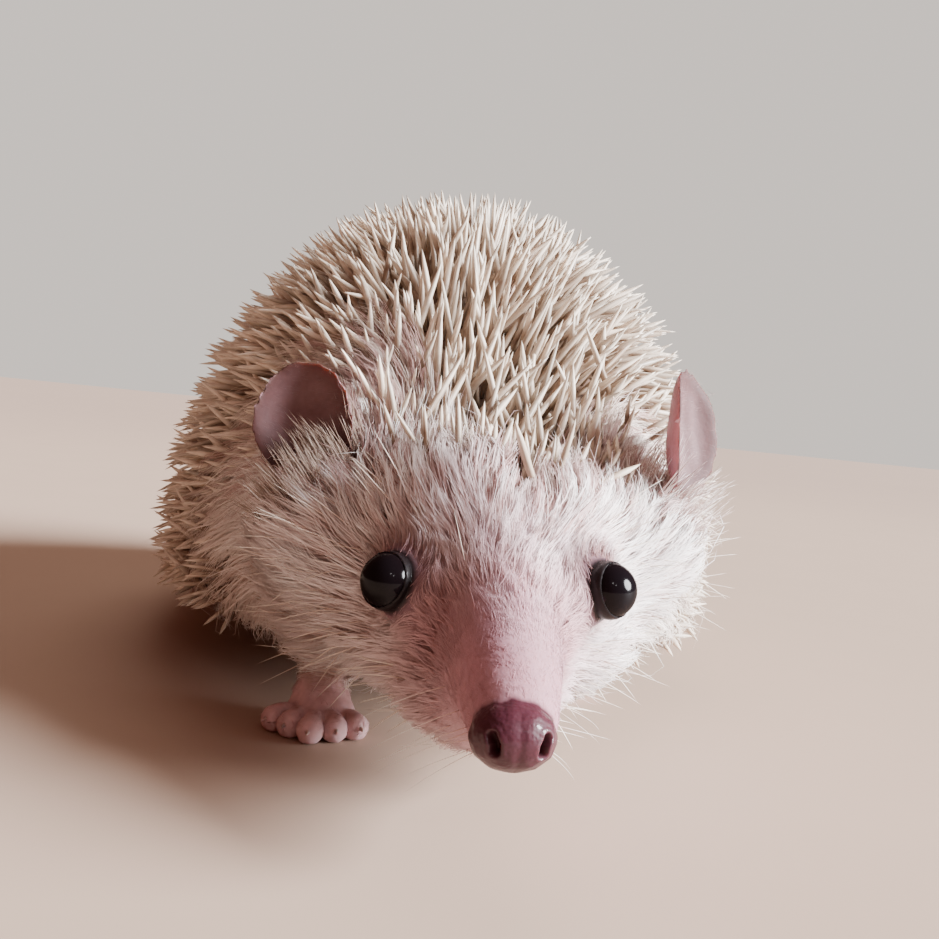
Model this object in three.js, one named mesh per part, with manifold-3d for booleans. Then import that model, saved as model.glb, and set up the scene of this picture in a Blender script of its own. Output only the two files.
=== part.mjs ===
// An African pygmy hedgehog in a low walking crouch, life size, as a still model.
// Millimetres, +Z up. The animal faces -Y, its left side is +X, and it stands on z = 0.
// The solids reach out to the tips of the coat. One blended body is parted by thin cuts into
// head, neck, belly and the three lengths of the spiny back; the rest is set against it.
import * as THREE from "three";
import { mergeVertices } from "three/addons/utils/BufferGeometryUtils.js";
import Module from "manifold-3d";

const wasm = await Module();
wasm.setup();

// ---- driving dimensions -------------------------------------------------------------------
const gap = 0.3; // between neighbouring solids
const bigBox = 400; // larger than the animal

const dome = { x: -1, y: 22, z: 16, halfWidth: 47.6, front: 72, back: 64, height: 63, depth: 34, leanDeg: 3.5 };
const belly = { z: 4.5, rise: 4.5, halfSpan: 38, edge: 9 }; // clearance, arched between the flanks
const flow = 6; // how softly the body's forms run into each other

const headPlace = { x: 0.6, y: -40, z: 26, turnDeg: -1.6, rollDeg: -2.5 }; // at the neck
const eye = { radius: 2.95, side: 11.3, front: 24.6, up: -2.9 };
const nosePad = { halfWidth: 4.2, side: -0.4, halfLength: 3.2, halfHeight: 3.3, front: 43.4, up: -12.4 };
const pinna = { halfWidth: 6.8, halfHeight: 9.2, thickness: 1.5, cup: 3.4 };

const brow = { y: -51, z: 36, slope: 0.78 }; // front edge of the spines, falling backwards
const flankZ = 11; // lower edge of the spines
const cutsY = { neckFront: -41, neckBack: -22, nape: -12, rump: 46 };

const forepaw = { halfWidth: 4.9, halfLength: 4.6, height: 4.4, toes: 5, toe: 1.5, reach: 3.6, fanDeg: 64 };
const hindpaw = { halfWidth: 4.2, halfLength: 9, height: 4.4, toes: 4, toe: 1.35, reach: 4.6, fanDeg: 36 };
const claw = { radius: 0.5, length: 2.2 };
const ankleZ = 4.2; // where a paw ends and its leg begins
const foreleg = { paw: forepaw, thigh: { z: 12, back: 4, radius: 7 }, ankle: 4.2 };
const hindleg = { paw: hindpaw, thigh: { z: 14, back: 0, radius: 9 }, ankle: 4.4 };
const legs = {
  front_right: { ...foreleg, x: -17.3, y: -42, turnDeg: -8, hip: [-20, -24, 19] },
  front_left: { ...foreleg, x: 15.5, y: -17, turnDeg: 6, hip: [18, -14, 19] },
  hind_right: { ...hindleg, x: -24, y: 51, turnDeg: -14, hip: [-22, 46, 22] },
  hind_left: { ...hindleg, x: 21, y: 33, turnDeg: 14, hip: [21, 38, 22] },
};

const finishes = {
  spines: ["#c9bba6", 0.55],
  fur: ["#e0d3c8", 0.8],
  skin: ["#c8929a", 0.6],
  ear: ["#b98a90", 0.65],
  eye: ["#0d0a0c", 0.06],
  nose: ["#8a5360", 0.3],
};

const v3 = (x, y, z) => new THREE.Vector3(x, y, z);
const radians = THREE.MathUtils.degToRad;
const up = v3(0, 0, 1);
const backwards = v3(0, 1, 0);

// ---- distance functions: negative inside, zero on the surface ---------------------------------
// An ellipsoid whose front and back, and upper and lower halves may differ.
function ellipsoid(centre, halfWidth, front, height, back = front, depth = height) {
  return (p) => {
    const q = p.clone().sub(centre);
    const radii = v3(halfWidth, q.y < 0 ? front : back, q.z > 0 ? height : depth);
    const size = q.divide(radii).length();
    const steep = q.divide(radii).length();
    return steep < 1e-9 ? -Math.min(halfWidth, front, height) : (size * (size - 1)) / steep;
  };
}

// A ball that runs along a line from one place and radius to another.
function taper(from, fromRadius, to, toRadius) {
  const along = to.clone().sub(from);
  return (p) => {
    const share = THREE.MathUtils.clamp(p.clone().sub(from).dot(along) / along.lengthSq(), 0, 1);
    const near = from.clone().addScaledVector(along, share);
    return p.distanceTo(near) - THREE.MathUtils.lerp(fromRadius, toRadius, share);
  };
}

function softMin(a, b, k) {
  const h = Math.max(k - Math.abs(a - b), 0) / k;
  return Math.min(a, b) - (h * h * h * k) / 6;
}

const blended = (k, ...shapes) => (p) => shapes.map((s) => s(p)).reduce((a, b) => softMin(a, b, k));
const softCut = (k, shape, edge) => (p) => -softMin(-shape(p), -edge(p), k);

// ---- the coat's outer form ------------------------------------------------------------------
// The head's own frame has its origin where the skull meets the neck.
const headFrame = new THREE.Matrix4().compose(
  v3(headPlace.x, headPlace.y, headPlace.z),
  new THREE.Quaternion().setFromEuler(
    new THREE.Euler(0, radians(headPlace.rollDeg), radians(headPlace.turnDeg)),
  ),
  v3(1, 1, 1),
);
const intoHead = headFrame.clone().invert();

function headForm() {
  const parts = [
    ellipsoid(v3(0, -8, 0.5), 18.5, 18, 12.5), // brain case and brow
    taper(v3(0, -39.8, -11.9), 4.6, v3(0, -26, -6.3), 8.4), // snout
    taper(v3(0, -26, -5.8), 8.4, v3(0, -10, -2), 15), // face
    taper(v3(0, -37.6, -14.6), 2.6, v3(0, -14, -11.5), 9.5), // lower jaw
    ellipsoid(v3(-1.5, -21.5, -11.6), 10.4, 12.5, 11.2), // chin and jowls
    ellipsoid(v3(0, -7, -9.5), 20, 19, 11.5), // throat
  ];
  for (const side of [-1, 1]) {
    const behindEye = v3(side * (eye.side - 2), 2.4 - eye.front, eye.up - 0.6);
    parts.push(ellipsoid(v3(side * 15, -3, -1.5), 13.5, 13, 10.5)); // cheek ruff
    parts.push(ellipsoid(behindEye, 4.2, 4.4, 4.6)); // round the eye
  }
  const form = blended(4, ...parts);
  return (p) => form(p.clone().applyMatrix4(intoHead));
}

function trunkForm() {
  const egg = ellipsoid(v3(0, 0, 0), dome.halfWidth, dome.front, dome.height, dome.back, dome.depth);
  const shoulders = ellipsoid(v3(-1, -20, 18), 33, 24, 16);
  const lean = new THREE.Quaternion().setFromAxisAngle(backwards, -radians(dome.leanDeg));
  const leaning = (p) => egg(v3(p.x - dome.x, p.y - dome.y, p.z - dome.z).applyQuaternion(lean));
  const arch = (p) => belly.z + belly.rise * Math.max(0, 1 - (p.x / belly.halfSpan) ** 2) - p.z;
  return softCut(belly.edge, blended(flow, leaning, shoulders), arch);
}

// The thick top of each leg, inside the coat.
function thighForms() {
  return Object.values(legs).map(({ x, y, thigh, hip }) =>
    taper(v3(x, y, thigh.z).add(v3(0, thigh.back, 0)), thigh.radius, v3(...hip), thigh.radius + 4),
  );
}

const coat = blended(flow, trunkForm(), headForm(), ...thighForms());

// ---- making and cutting solids ----------------------------------------------------------------
function solidOf(geometry) {
  const bare = geometry.clone();
  bare.deleteAttribute("normal");
  bare.deleteAttribute("uv");
  const merged = mergeVertices(bare, 1e-4);
  return new wasm.Manifold(
    new wasm.Mesh({
      numProp: 3,
      vertProperties: merged.attributes.position.array,
      triVerts: new Uint32Array(merged.index.array),
    }),
  );
}

function geometryOf(solid) {
  const mesh = solid.getMesh();
  const geometry = new THREE.BufferGeometry();
  geometry.setAttribute("position", new THREE.BufferAttribute(mesh.vertProperties, 3));
  geometry.setIndex(new THREE.BufferAttribute(mesh.triVerts, 1));
  geometry.computeVertexNormals();
  return geometry;
}

// A ball of triangles stretched along a line inside a shape. Each corner runs outwards from its
// own place on the line to where the shape ends.
function wrap(from, to, detail, shape, reach = 90) {
  const geometry = new THREE.IcosahedronGeometry(1, detail);
  const corners = geometry.attributes.position;
  for (let i = 0; i < corners.count; i++) {
    const ray = v3(0, 0, 0).fromBufferAttribute(corners, i).normalize();
    const start = from.clone().lerp(to, (ray.dot(to.clone().sub(from).normalize()) + 1) / 2);
    let inside = 0;
    let outside = reach;
    for (let step = 0; step < 24; step++) {
      const middle = (inside + outside) / 2;
      if (shape(start.clone().addScaledVector(ray, middle)) < 0) inside = middle;
      else outside = middle;
    }
    start.addScaledVector(ray, inside);
    corners.setXYZ(i, start.x, start.y, start.z);
  }
  return solidOf(geometry);
}

// Everything on the side of a plane that its normal points to.
function halfSpace(point, normal) {
  const geometry = new THREE.BoxGeometry(bigBox, bigBox, bigBox);
  geometry.translate(0, 0, bigBox / 2);
  geometry.applyQuaternion(new THREE.Quaternion().setFromUnitVectors(up, normal));
  geometry.translate(point.x, point.y, point.z);
  return solidOf(geometry);
}

// The two sides of a plane, each half a gap away from it. Its normal points beyond it.
function sides(point, direction) {
  const normal = direction.clone().normalize();
  return {
    beyond: halfSpace(point.clone().addScaledVector(normal, gap / 2), normal),
    before: halfSpace(point.clone().addScaledVector(normal, -gap / 2), normal.clone().negate()),
  };
}

const group = new THREE.Group();

// A cut may leave slivers beside the piece itself, so only the largest body is kept.
function add(name, finish, solid) {
  const whole = solid.decompose().reduce((a, b) => (b.volume() > a.volume() ? b : a));
  const [color, roughness] = finishes[finish];
  const material = new THREE.MeshStandardMaterial({ color, roughness, metalness: 0 });
  const mesh = new THREE.Mesh(geometryOf(whole), material);
  mesh.name = name;
  group.add(mesh);
}

// ---- eyes, nose and ears ------------------------------------------------------------------------
function ball(halfWidth, halfLength, halfHeight, at, across = 12, down = 8) {
  const geometry = new THREE.SphereGeometry(1, across, down);
  geometry.scale(halfWidth, halfLength, halfHeight).translate(at.x, at.y, at.z);
  return geometry;
}

function eyeball(side, grow = 0) {
  const radius = eye.radius + grow;
  const geometry = ball(radius, radius, radius, v3(side * eye.side, -eye.front, eye.up));
  return solidOf(geometry.applyMatrix4(headFrame));
}

function noseShape(grow = 0) {
  const at = v3(nosePad.side, -nosePad.front, nosePad.up);
  const geometry = ball(
    nosePad.halfWidth + grow,
    nosePad.halfLength + grow,
    nosePad.halfHeight + grow,
    at,
  );
  return solidOf(geometry.applyMatrix4(headFrame));
}

// A rounded disc, dished towards -Y and narrower at its foot, then turned and set in place.
function ear({ place, turnDeg, leanDeg, tipDeg }) {
  const geometry = new THREE.SphereGeometry(1, 16, 9);
  const corners = geometry.attributes.position;
  for (let i = 0; i < corners.count; i++) {
    const [x, y, z] = [corners.getX(i), corners.getY(i), corners.getZ(i)];
    const width = pinna.halfWidth * (1 - 0.22 * Math.max(-z, 0));
    const dish = pinna.cup * (x * x + 0.35 * z * z);
    corners.setXYZ(i, x * width, (y * pinna.thickness) / 2 - dish, z * pinna.halfHeight);
  }
  const angles = new THREE.Euler(radians(leanDeg), radians(tipDeg), radians(turnDeg), "ZYX");
  geometry.applyQuaternion(new THREE.Quaternion().setFromEuler(angles));
  geometry.translate(place.x, place.y, place.z);
  return solidOf(geometry.applyMatrix4(headFrame));
}

// ---- parting the body --------------------------------------------------------------------------
const wholeBody = (shape) => wrap(v3(-0.5, -42, 22), v3(-1.5, 50, 30), 9, shape);
const wholeHead = (shape) => wrap(v3(-1, -72, 16), v3(0, -44, 22), 9, (p) => Math.max(shape(p), p.y + 34));
const grown = (p) => coat(p) - gap;

const body = wholeBody(coat);
const spineFront = sides(v3(0, brow.y, brow.z), v3(0, brow.slope, 1));
const spineFoot = sides(v3(0, 0, flankZ), up);
const neckFront = sides(v3(0, cutsY.neckFront, 0), backwards);
const neckBack = sides(v3(0, cutsY.neckBack, 0), backwards);
const nape = sides(v3(0, cutsY.nape, dome.height / 2), v3(0, 1, 0.25));
const rump = sides(v3(0, cutsY.rump, dome.height / 2), v3(0, 1, 0.15));

const spiny = body.intersect(spineFront.beyond).intersect(spineFoot.beyond);
const furry = body.intersect(spineFront.before.add(spineFoot.before));

add("crown", "spines", spiny.intersect(nape.before));
add("back", "spines", spiny.intersect(nape.beyond).intersect(rump.before));
add("rump", "spines", spiny.intersect(rump.beyond));
add("neck", "fur", furry.intersect(neckFront.beyond).intersect(neckBack.before));
add("belly", "fur", furry.intersect(neckBack.beyond));

let head = wholeHead(coat).intersect(neckFront.before).intersect(spineFront.before);
for (const [name, side] of [["right", -1], ["left", 1]]) {
  add(`eye_${name}`, "eye", eyeball(side));
  head = head.subtract(eyeball(side, gap));
}
head = head.subtract(noseShape(gap));
add("nose", "nose", noseShape());
add("head", "fur", head);

// ---- what is set against the body --------------------------------------------------------------
const flesh = wholeBody(grown).add(wholeHead(grown));

const rightEar = ear({ place: v3(-21.6, -1.3, 11.4), turnDeg: -14, leanDeg: -8, tipDeg: -12 });
const leftEar = ear({ place: v3(23.6, -3, 12.9), turnDeg: 50, leanDeg: -6, tipDeg: 10 });
add("ear_right", "ear", rightEar.subtract(flesh));
add("ear_left", "ear", leftEar.subtract(flesh));

// A palm with its toes and claws as one solid, flat underneath. The toes point to -Y at first.
function pawOf(kind, { x, y, turnDeg }) {
  let whole = solidOf(ball(kind.halfWidth, kind.halfLength, kind.height * 0.75, v3(0, 0, 1.6), 10, 6));
  for (let i = 0; i < kind.toes; i++) {
    const share = i / (kind.toes - 1) - 0.5; // -0.5 to 0.5 across the paw
    const reach = kind.reach * (1 - Math.abs(share) * 0.7); // the middle toes are the longest
    const toe = ball(kind.toe, kind.toe + reach / 2, kind.toe * 1.15, v3(0, -reach / 2, kind.toe), 6, 5);
    const nail = new THREE.ConeGeometry(claw.radius, claw.length, 3);
    nail.rotateX(Math.PI + 0.35);
    nail.translate(0, -reach - kind.toe - claw.length * 0.25, kind.toe * 0.8);
    const root = v3(share * kind.halfWidth * 1.5, kind.toe - kind.halfLength + Math.abs(share) * 3, 0);
    for (const piece of [toe, nail]) {
      piece.rotateZ(radians(kind.fanDeg * share)).translate(root.x, root.y, root.z);
      whole = whole.add(solidOf(piece));
    }
  }
  const placed = geometryOf(whole).rotateZ(radians(turnDeg)).translate(x, y, 0);
  return solidOf(placed).intersect(halfSpace(v3(0, 0, 0), up));
}

const ankles = sides(v3(0, 0, ankleZ), up);
for (const [name, leg] of Object.entries(legs)) {
  const ankle = v3(leg.x, leg.y + leg.paw.halfLength * 0.3, ankleZ);
  const knee = v3(leg.x, leg.y + leg.thigh.back, leg.thigh.z);
  const limb = wrap(ankle, knee, 2, taper(ankle, leg.ankle, knee, leg.ankle + 1), 30).subtract(flesh);
  const paw = pawOf(leg.paw, leg).add(limb.intersect(halfSpace(v3(0, 0, 0), up)));
  add(`leg_${name}`, "fur", limb.intersect(ankles.beyond));
  add(`paw_${name}`, "skin", paw.intersect(ankles.before).subtract(flesh));
}

const tailRoot = v3(-1.5, 76, 11);
const tailTip = v3(-1.5, 89, 8);
const tail = wrap(tailRoot, tailTip, 2, taper(tailRoot, 4.6, tailTip, 2), 20);
add("tail", "skin", tail.subtract(flesh));

// The origin is under the middle of the whole animal.
const extent = new THREE.Box3().setFromObject(group);
const middle = extent.getCenter(v3(0, 0, 0));
group.position.set(-middle.x, -middle.y, -extent.min.z);

export default group;
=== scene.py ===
import math

import bmesh
import bpy
import numpy as np
from mathutils import Matrix, Vector
from mathutils.bvhtree import BVHTree


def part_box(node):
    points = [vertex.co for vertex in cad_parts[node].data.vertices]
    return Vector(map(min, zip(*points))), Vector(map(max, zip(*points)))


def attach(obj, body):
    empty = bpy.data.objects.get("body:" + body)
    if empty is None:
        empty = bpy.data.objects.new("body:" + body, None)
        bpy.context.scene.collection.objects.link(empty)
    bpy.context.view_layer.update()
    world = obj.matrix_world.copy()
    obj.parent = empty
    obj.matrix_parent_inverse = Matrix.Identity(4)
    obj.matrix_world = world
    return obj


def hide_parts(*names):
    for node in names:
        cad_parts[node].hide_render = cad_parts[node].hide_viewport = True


# A hedgehog in a low walking crouch, life size: one skin with lids, nostrils and toes, and a coat
# of fur tufts and quills that grows out from it to the solids' outline. It faces -Y.
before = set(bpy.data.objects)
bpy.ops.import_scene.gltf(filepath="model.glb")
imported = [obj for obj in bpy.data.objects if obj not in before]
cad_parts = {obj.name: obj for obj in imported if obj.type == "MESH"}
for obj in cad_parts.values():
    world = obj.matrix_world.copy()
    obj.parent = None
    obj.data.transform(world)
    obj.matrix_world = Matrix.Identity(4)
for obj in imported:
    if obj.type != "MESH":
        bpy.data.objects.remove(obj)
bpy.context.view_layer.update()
mm = 0.001
chance = np.random.default_rng(11)


# Small helpers for points, masks and meshes
def clamp(values):
    return np.clip(values, 0, 1)


def smoothStep(low, high, value):
    share = clamp((value - low) / (high - low))
    return share * share * (3 - 2 * share)


def fade(low, high, value):
    return 1 - smoothStep(low, high, value)


def unit(vectors):
    return vectors / np.maximum(np.linalg.norm(vectors, axis=-1, keepdims=True), 1e-9)


def along(vectors, direction):
    return np.sum(vectors * direction, axis=-1, keepdims=True)


def distance(points, spot):
    return np.linalg.norm(points - np.asarray(spot), axis=1)


# How each point stands off the line between two ends, as a vector.
def offLine(points, start, end, least=0.0):
    span = end - start
    share = np.clip((points - start) @ span / (span @ span), least, 1)
    return points - start - share[:, None] * span


# Slow waves over the coat, from -1 to 1, so that it gathers in places.
def waves(points, size):
    x, y, z = (points / (size * mm)).T
    return np.sin(x + 1.7 * np.sin(0.8 * y + 1.1)) * np.cos(1.1 * z + 1.3 * np.sin(0.9 * x + 0.4) + 0.6 * y)


def boxMiddle(node):
    low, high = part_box(node)
    return np.array((low + high) / 2)


def readRows(items, field, width, kind):
    values = np.empty(len(items) * width, kind)
    items.foreach_get(field, values)
    return values.reshape(-1, width)


def readVectors(items, field, width=3):
    return readRows(items, field, width, np.float32).astype(float)


def readNormals(mesh):
    return unit(readVectors(mesh.vertex_normals, "vector"))


def readEdges(mesh):
    return readRows(mesh.edges, "vertices", 2, np.int32)


def movePoints(mesh, points):
    mesh.vertices.foreach_set("co", points.astype(np.float32).ravel())
    mesh.update()


def neighbourMean(values, edges, counts):
    first, second = edges[:, 0], edges[:, 1]
    total = np.bincount(first, values[second], len(counts))
    return (total + np.bincount(second, values[first], len(counts))) / counts


def blurred(values, edges, rounds):
    counts = np.maximum(np.bincount(edges.ravel(), minlength=len(values)), 1)
    for _ in range(rounds):
        values = values + 0.6 * (neighbourMean(values, edges, counts) - values)
    return values


def relaxed(points, edges, rounds, weight=1.0, keepSize=True):
    counts = np.maximum(np.bincount(edges.ravel(), minlength=len(points)), 1)
    weight = np.broadcast_to(np.asarray(weight, float).reshape(-1, 1), (len(points), 1))
    for turn in range(rounds * (2 if keepSize else 1)):  # every second turn pushes back out
        share = -0.53 if keepSize and turn % 2 else 0.5
        mean = np.stack([neighbourMean(points[:, i], edges, counts) for i in range(3)], axis=1)
        points = points + weight * share * (mean - points)
    return points


def keep(mesh, name, kind, values):
    field = {"FLOAT": "value", "FLOAT_COLOR": "color", "FLOAT_VECTOR": "vector"}[kind]
    layer = mesh.attributes.new(name, kind, "POINT")
    layer.data.foreach_set(field, np.asarray(values, np.float32).ravel())


def surfaceTree(points, mesh):
    return BVHTree.FromPolygons(points.tolist(), [face.vertices[:] for face in mesh.polygons])


def addObject(name, data):
    item = bpy.data.objects.new(name, data)
    bpy.context.scene.collection.objects.link(item)
    return item


# What one modifier makes of an object's mesh. The object itself isn't kept.
def modified(item, kind, **settings):
    modifier = item.modifiers.new(kind.lower(), kind)
    for field, value in settings.items():
        setattr(modifier, field, value)
    mesh = bpy.data.meshes.new_from_object(item.evaluated_get(bpy.context.evaluated_depsgraph_get()))
    bpy.data.objects.remove(item)
    return mesh


def addPiece(mesh, name, material):
    piece = addObject(name, mesh)
    mesh.materials.clear()
    mesh.materials.append(material)
    mesh.polygons.foreach_set("use_smooth", [True] * len(mesh.polygons))
    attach(piece, "root")
    return piece


def meshFrom(bm, name):
    mesh = bpy.data.meshes.new(name)
    bm.to_mesh(mesh)
    bm.free()
    return mesh


# Camera
camera = {"place": (-14.86, -167.49, 40), "heading": 6.5, "pitch": 3, "roll": 5.71, "lens": 38.34}


def placeCamera():
    data = bpy.data.cameras.new("camera")
    data.lens = camera["lens"]
    data.clip_start = 0.01
    turn = Matrix.Rotation(math.radians(-camera["heading"]), 4, "Z")
    turn = turn @ Matrix.Rotation(math.radians(90 - camera["pitch"]), 4, "X")
    turn = turn @ Matrix.Rotation(math.radians(camera["roll"]), 4, "Z")
    viewpoint = addObject("camera", data)
    viewpoint.matrix_world = Matrix.Translation(Vector(camera["place"]) * mm) @ turn
    bpy.context.scene.camera = viewpoint


placeCamera()


# Landmarks, from the solids
sides = ("left", "right")
eyeSpots = {side: boxMiddle(f"eye_{side}") for side in sides}
eyeRadius = float(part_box("eye_left")[1].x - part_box("eye_left")[0].x) / 2
noseSpot = boxMiddle("nose")
noseTip = np.array([noseSpot[0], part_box("nose")[0].y, noseSpot[2]])
gaze = {"left": unit(np.array([0.66, -0.7, 0.26])), "right": unit(np.array([-0.66, -0.7, 0.26]))}
fleshNodes = [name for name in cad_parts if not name.startswith("eye_")]


# Distance in millimetres to the nearer ear's foot.
def earGap(points):
    feet = [boxMiddle(f"ear_{side}") - np.array([0, 0, 4 * mm]) for side in sides]
    return np.minimum(distance(points, feet[0]), distance(points, feet[1])) / mm


# Where the quills begin: a rounded V over the forehead, then behind the ears and along the flanks.
spineLine = {"x": 4, "y": -62.5, "slope": 1.45, "round": 4, "behindEars": -38, "belowEars": -31, "foot": 8.0}


def behindBrow(points):
    across, back = points[:, 0] / mm - spineLine["x"], points[:, 1] / mm
    rise = spineLine["slope"] * (np.hypot(across, spineLine["round"]) - spineLine["round"])
    high = smoothStep(28, 38, points[:, 2] / mm)
    limit = spineLine["belowEars"] + (spineLine["behindEars"] - spineLine["belowEars"]) * high
    return back - np.minimum(spineLine["y"] + rise, limit)


def spineShare(points):
    above = points[:, 2] / mm - spineLine["foot"]
    return smoothStep(-1, 1.5, behindBrow(points)) * smoothStep(-1, 2, above)


# A narrow bare parting runs back from the middle of the brow.
parting = {
    "from": (3.2, -60.0), "to": (4.8, -47.0), "halfWidth": 1.7, "above": 27,
    "below": {"halfWidth": 2.2, "fade": (7, 11)},  # short fur in front of it
}


def partShare(points):
    start, end = (np.array(parting[name]) * mm for name in ("from", "to"))
    gap = np.linalg.norm(offLine(points[:, :2], start, end), axis=1) / mm
    return fade(0.6, 1.2, gap / parting["halfWidth"]) * (points[:, 2] > parting["above"] * mm)


def belowParting(points):
    across = (points[:, 0] / mm - parting["from"][0]) / parting["below"]["halfWidth"]
    ahead = parting["from"][1] - points[:, 1] / mm
    near = np.exp(-(across ** 2)) * smoothStep(-3, 0, ahead) * fade(*parting["below"]["fade"], ahead)
    return near * (points[:, 2] > 0.02)


# Materials
def addNode(tree, kind, inputs=None, **settings):
    node = tree.nodes.new(kind)
    for field, value in settings.items():
        setattr(node, field, value)
    for socket, value in (inputs or {}).items():
        if isinstance(value, bpy.types.NodeSocket):
            tree.links.new(value, node.inputs[socket])
        else:
            node.inputs[socket].default_value = value
    return node


def readAttribute(tree, name, socket="Fac"):
    return addNode(tree, "ShaderNodeAttribute", attribute_name=name).outputs[socket]


# Two sizes of mottling that lighten and darken a colour.
def makeMottling():
    group = bpy.data.node_groups.new("mottling", "ShaderNodeTree")
    inputs = {"Colour": (0.8, 0.8, 0.8, 1), "Patch Scale": 120.0, "Grain Scale": 900.0, "Amount": 0.2}
    for label, value in inputs.items():
        kind = "NodeSocketColor" if label == "Colour" else "NodeSocketFloat"
        group.interface.new_socket(label, in_out="INPUT", socket_type=kind).default_value = value
    group.interface.new_socket("Colour", in_out="OUTPUT", socket_type="NodeSocketColor")
    given = group.nodes.new("NodeGroupInput").outputs
    result = group.nodes.new("NodeGroupOutput").inputs
    place = addNode(group, "ShaderNodeTexCoord").outputs["Object"]
    sizes = {}
    for i, (scale, detail) in enumerate((("Patch Scale", 3.0), ("Grain Scale", 2.0))):
        noise = {"Vector": place, "Scale": given[scale], "Detail": detail}
        sizes[i] = addNode(group, "ShaderNodeTexNoise", noise).outputs[0]
    both = addNode(group, "ShaderNodeMath", sizes, operation="ADD")
    signed = addNode(group, "ShaderNodeMapRange", {0: both.outputs[0], 1: 0.7, 2: 1.3, 3: -0.5, 4: 0.5})
    strength = {0: signed.outputs[0], 1: given["Amount"]}
    scaled = addNode(group, "ShaderNodeMath", strength, operation="MULTIPLY").outputs[0]
    factor = addNode(group, "ShaderNodeMath", {0: scaled, 1: 1.0}, operation="ADD").outputs[0]
    shaded = {0: given["Colour"], "Scale": factor}
    colour = addNode(group, "ShaderNodeVectorMath", shaded, operation="SCALE")
    group.links.new(colour.outputs[0], result["Colour"])
    return group


mottling = makeMottling()


# Each finish: the sizes and strength of its mottling, then its shader's own numbers.
finishes = {
    "skin_and_down": ((260, 1500, 0.22), {
        "Specular IOR Level": 0.2, "Coat Roughness": 0.12,
        "Subsurface Weight": 0.12, "Subsurface Scale": 0.0025, "Subsurface Radius": (1.0, 0.45, 0.3),
    }),
    "quill_keratin": ((160, 1100, 0.16), {"Roughness": 0.42}),
    "soft_fur": ((160, 1100, 0.16), {"Roughness": 0.7, "Sheen Weight": 0.05}),
    "claw_horn": ((500, 2500, 0.2), {"Roughness": 0.34, "Subsurface Weight": 0.2, "Subsurface Scale": 0.001}),
    "dark_wet_eye": (None, {
        "Roughness": 0.35, "Specular IOR Level": 0.0, "Coat Weight": 0.32, "Coat Roughness": 0.12,
    }),
    "studio_floor": ((3, 40, 0.03), {"Roughness": 0.7}),
}
irisShades = [
    (0.0, (0.004, 0.003, 0.004)), (0.34, (0.005, 0.003, 0.004)), (0.42, (0.022, 0.010, 0.010)),
    (0.72, (0.014, 0.007, 0.010)), (1.0, (0.05, 0.03, 0.035)),
]


# The colour is the piece's own tint, where none is given.
def newMaterial(name, colour=None):
    material = bpy.data.materials.new(name)
    material.use_nodes = True
    tree = material.node_tree
    shader = tree.nodes["Principled BSDF"]
    mottles, numbers = finishes[name]
    for socket, value in numbers.items():
        shader.inputs[socket].default_value = value
    if mottles:
        given = dict(zip(("Patch Scale", "Grain Scale", "Amount"), mottles))
        given["Colour"] = colour or readAttribute(tree, "tint", "Color")
        mottled = addNode(tree, "ShaderNodeGroup", given, node_tree=mottling)
        tree.links.new(mottled.outputs["Colour"], shader.inputs["Base Color"])
    return material, tree, shader


def skinFinish():
    material, tree, shader = newMaterial("skin_and_down")
    wet, bare = readAttribute(tree, "wet"), readAttribute(tree, "bare")
    rough = addNode(tree, "ShaderNodeMapRange", {0: wet, 3: 0.62, 4: 0.26})
    tree.links.new(rough.outputs[0], shader.inputs["Roughness"])
    tree.links.new(wet, shader.inputs["Coat Weight"])
    place = addNode(tree, "ShaderNodeTexCoord").outputs["Object"]
    pebbles = addNode(tree, "ShaderNodeTexVoronoi", {"Vector": place, "Scale": 2600.0}, feature="SMOOTH_F1")
    creases = addNode(tree, "ShaderNodeTexNoise", {"Vector": place, "Scale": 1400.0, "Detail": 4.0})
    blended = {"Factor": bare, 2: creases.outputs[0], 3: pebbles.outputs[0]}
    fine = addNode(tree, "ShaderNodeMix", blended, data_type="FLOAT")
    bump = addNode(tree, "ShaderNodeBump", {"Height": fine.outputs[0], "Distance": 0.0001, "Strength": 0.45})
    tree.links.new(bump.outputs[0], shader.inputs["Normal"])
    return material


def eyeFinish():
    material, tree, shader = newMaterial("dark_wet_eye")
    shades = addNode(tree, "ShaderNodeValToRGB", {"Fac": readAttribute(tree, "ring")})
    ramp = shades.color_ramp.elements
    while len(ramp) < len(irisShades):
        ramp.new(1.0)
    for element, (place, colour) in zip(ramp, irisShades):
        element.position = place
        element.color = (*colour, 1)
    tree.links.new(shades.outputs[0], shader.inputs["Base Color"])
    return material


print("materials made")


# The skin: the solids are joined into one even mesh at the coat's outline, which then sinks by the
# coat's depth.
skinMake = {
    "grain": 0.5,  # the even mesh's face size
    "overlap": 0.2,  # grown this much, so that neighbours join
    "evenRounds": 24,
    "earRounds": (12, 14),  # before and after the ears are shaped
    "steps": 16,
    "spread": 30,  # rounds that soften the change from one depth to the next
    "thinShare": 0.3,  # how much of a thin part the coat may take
    "keepShare": 0.45,  # of the faces hidden under quills
    "depths": {
        "crown": 3.0, "back": 4.5, "rump": 4.5, "neck": 4.0, "belly": 4.5, "head": 2.6, "leg": 1.2,
        "paw": -0.2, "ear": -0.15, "nose": 0.0, "tail": 0.4, "eye": 0.6,
    },
    "quillDepth": 9.0,
    "browDepth": 4.5,
    "muzzleDepth": 0.5,
    "lidOpening": 70,  # degrees from the gaze to the lid's edge
    "lidProud": 0.12,
    "nostril": {"halfWidth": 0.42, "depth": 0.95, "apart": 34, "turn": 4, "foot": -12, "head": 14},
}


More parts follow.
